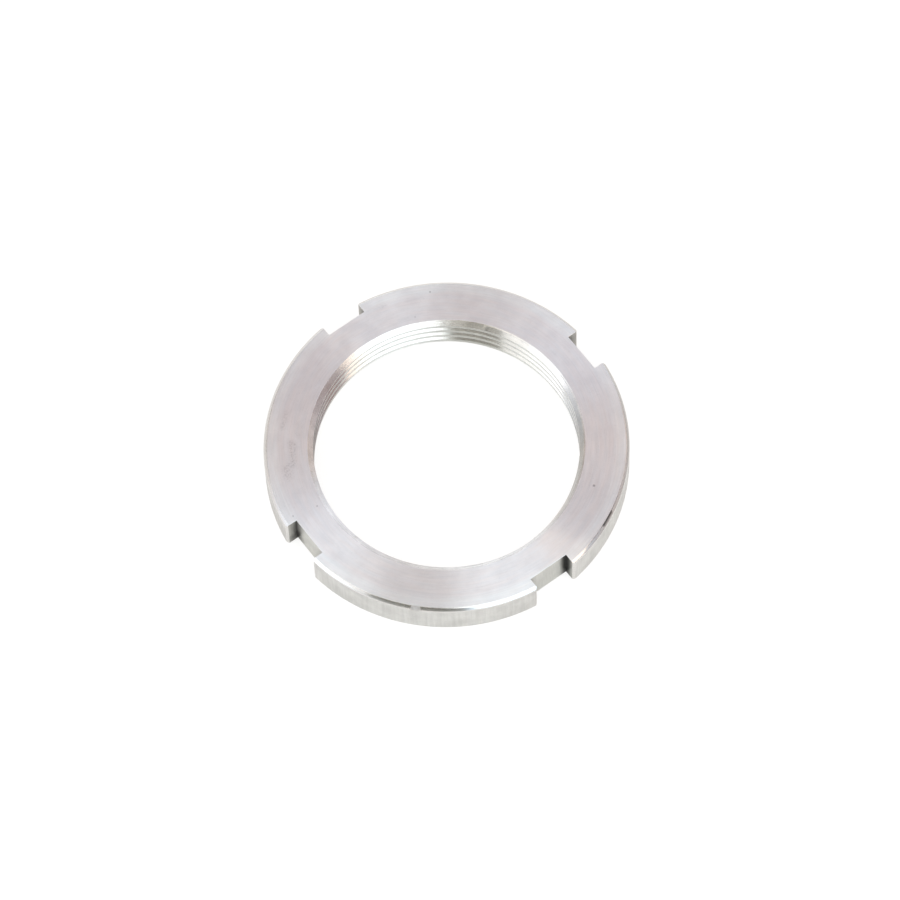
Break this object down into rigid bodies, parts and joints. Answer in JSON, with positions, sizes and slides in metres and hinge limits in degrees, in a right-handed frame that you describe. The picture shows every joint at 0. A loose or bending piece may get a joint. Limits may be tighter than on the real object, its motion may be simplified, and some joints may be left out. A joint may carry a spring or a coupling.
{
  "type": "coilover lock nut",
  "caption": "Round slotted lock nut with a fine internal thread, chamfered rim and rectangular rim slots for a hook spanner; locks a spring perch on a threaded damper body.",
  "frame": {"origin": "centre of the bottom face, on the thread's axis", "axes": "+Z along the thread's axis, out of the face that has the wider thread mouth; +X and +Y each through the middle of a slot"},
  "size_m": [0.072, 0.072, 0.008],
  "materials": {
    "turned_aluminium": "bare turned aluminium, fine concentric tool marks on the faces, fine upright marks on the rim, milled slots"
  },
  "bodies": {
    "root": {"lock_nut": "turned_aluminium"}
  },
  "joints": []
}
